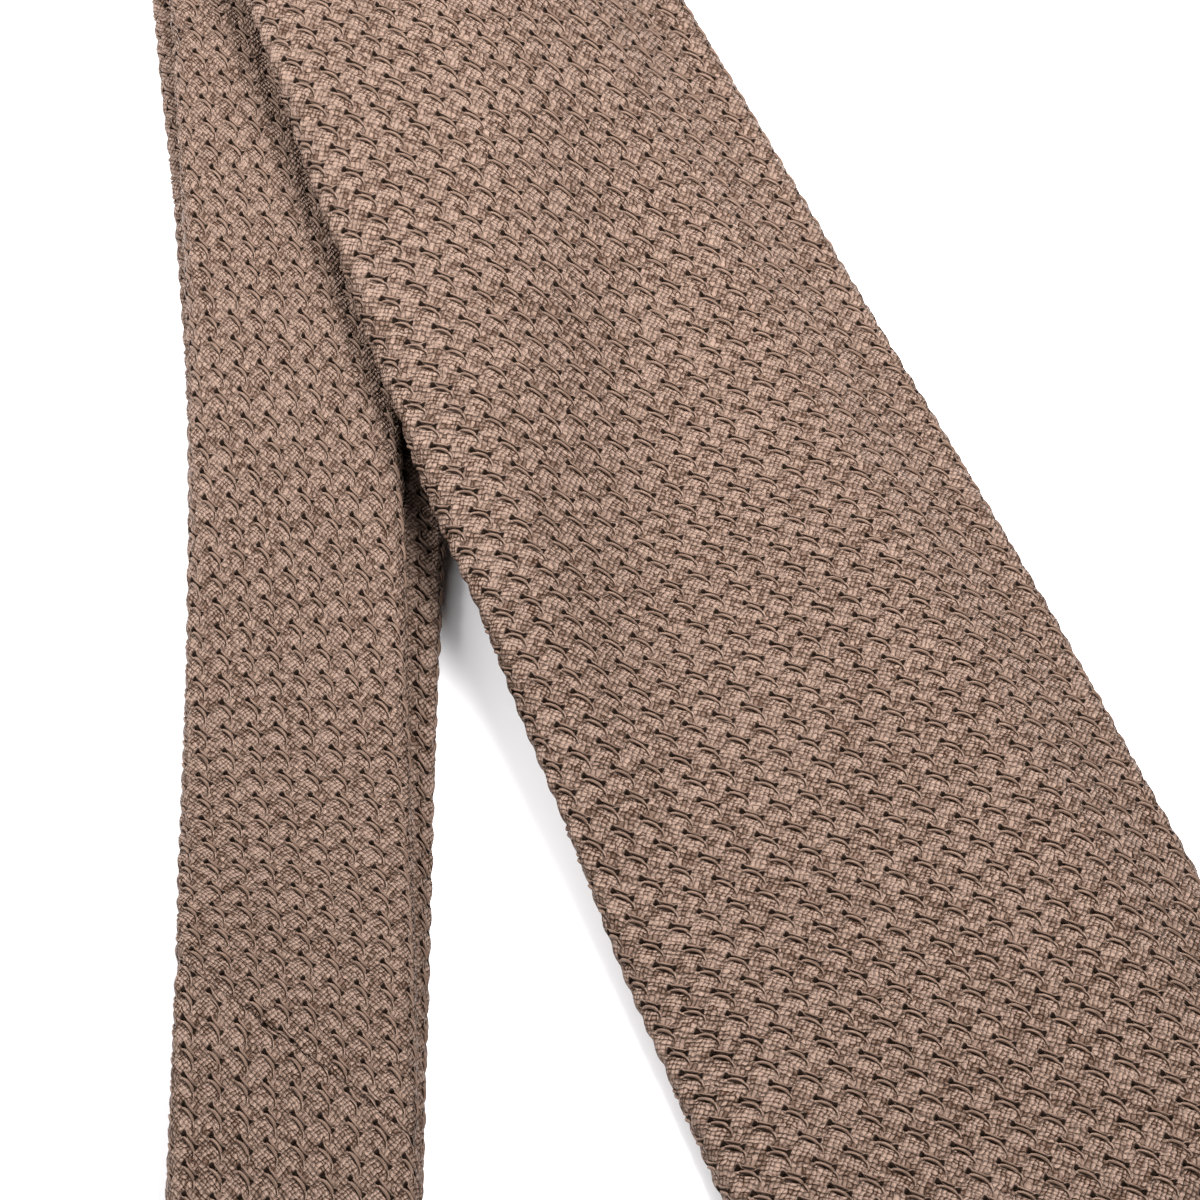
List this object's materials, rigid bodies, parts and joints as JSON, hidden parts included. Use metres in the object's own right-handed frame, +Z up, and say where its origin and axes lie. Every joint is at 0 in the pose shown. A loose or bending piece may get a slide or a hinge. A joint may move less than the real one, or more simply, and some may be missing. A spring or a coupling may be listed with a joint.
{
  "type": "necktie",
  "caption": "Necktie of open gauze weave, a flattened cloth tube with pointed ends, folded in half twice and laid flat.",
  "frame": {"origin": "middle of the bounding box, on the surface that the tie lies on", "axes": "+Y runs from the blade's point towards the top folds, +Z up out of the blade's face"},
  "size_m": [0.1712, 0.3706, 0.0224],
  "materials": {
    "cloth": "matt silk gauze weave, warm taupe brown"
  },
  "bodies": {
    "root": {"blade_cloth": "cloth", "neck_cloth": "cloth", "tail_cloth": "cloth"}
  },
  "joints": []
}
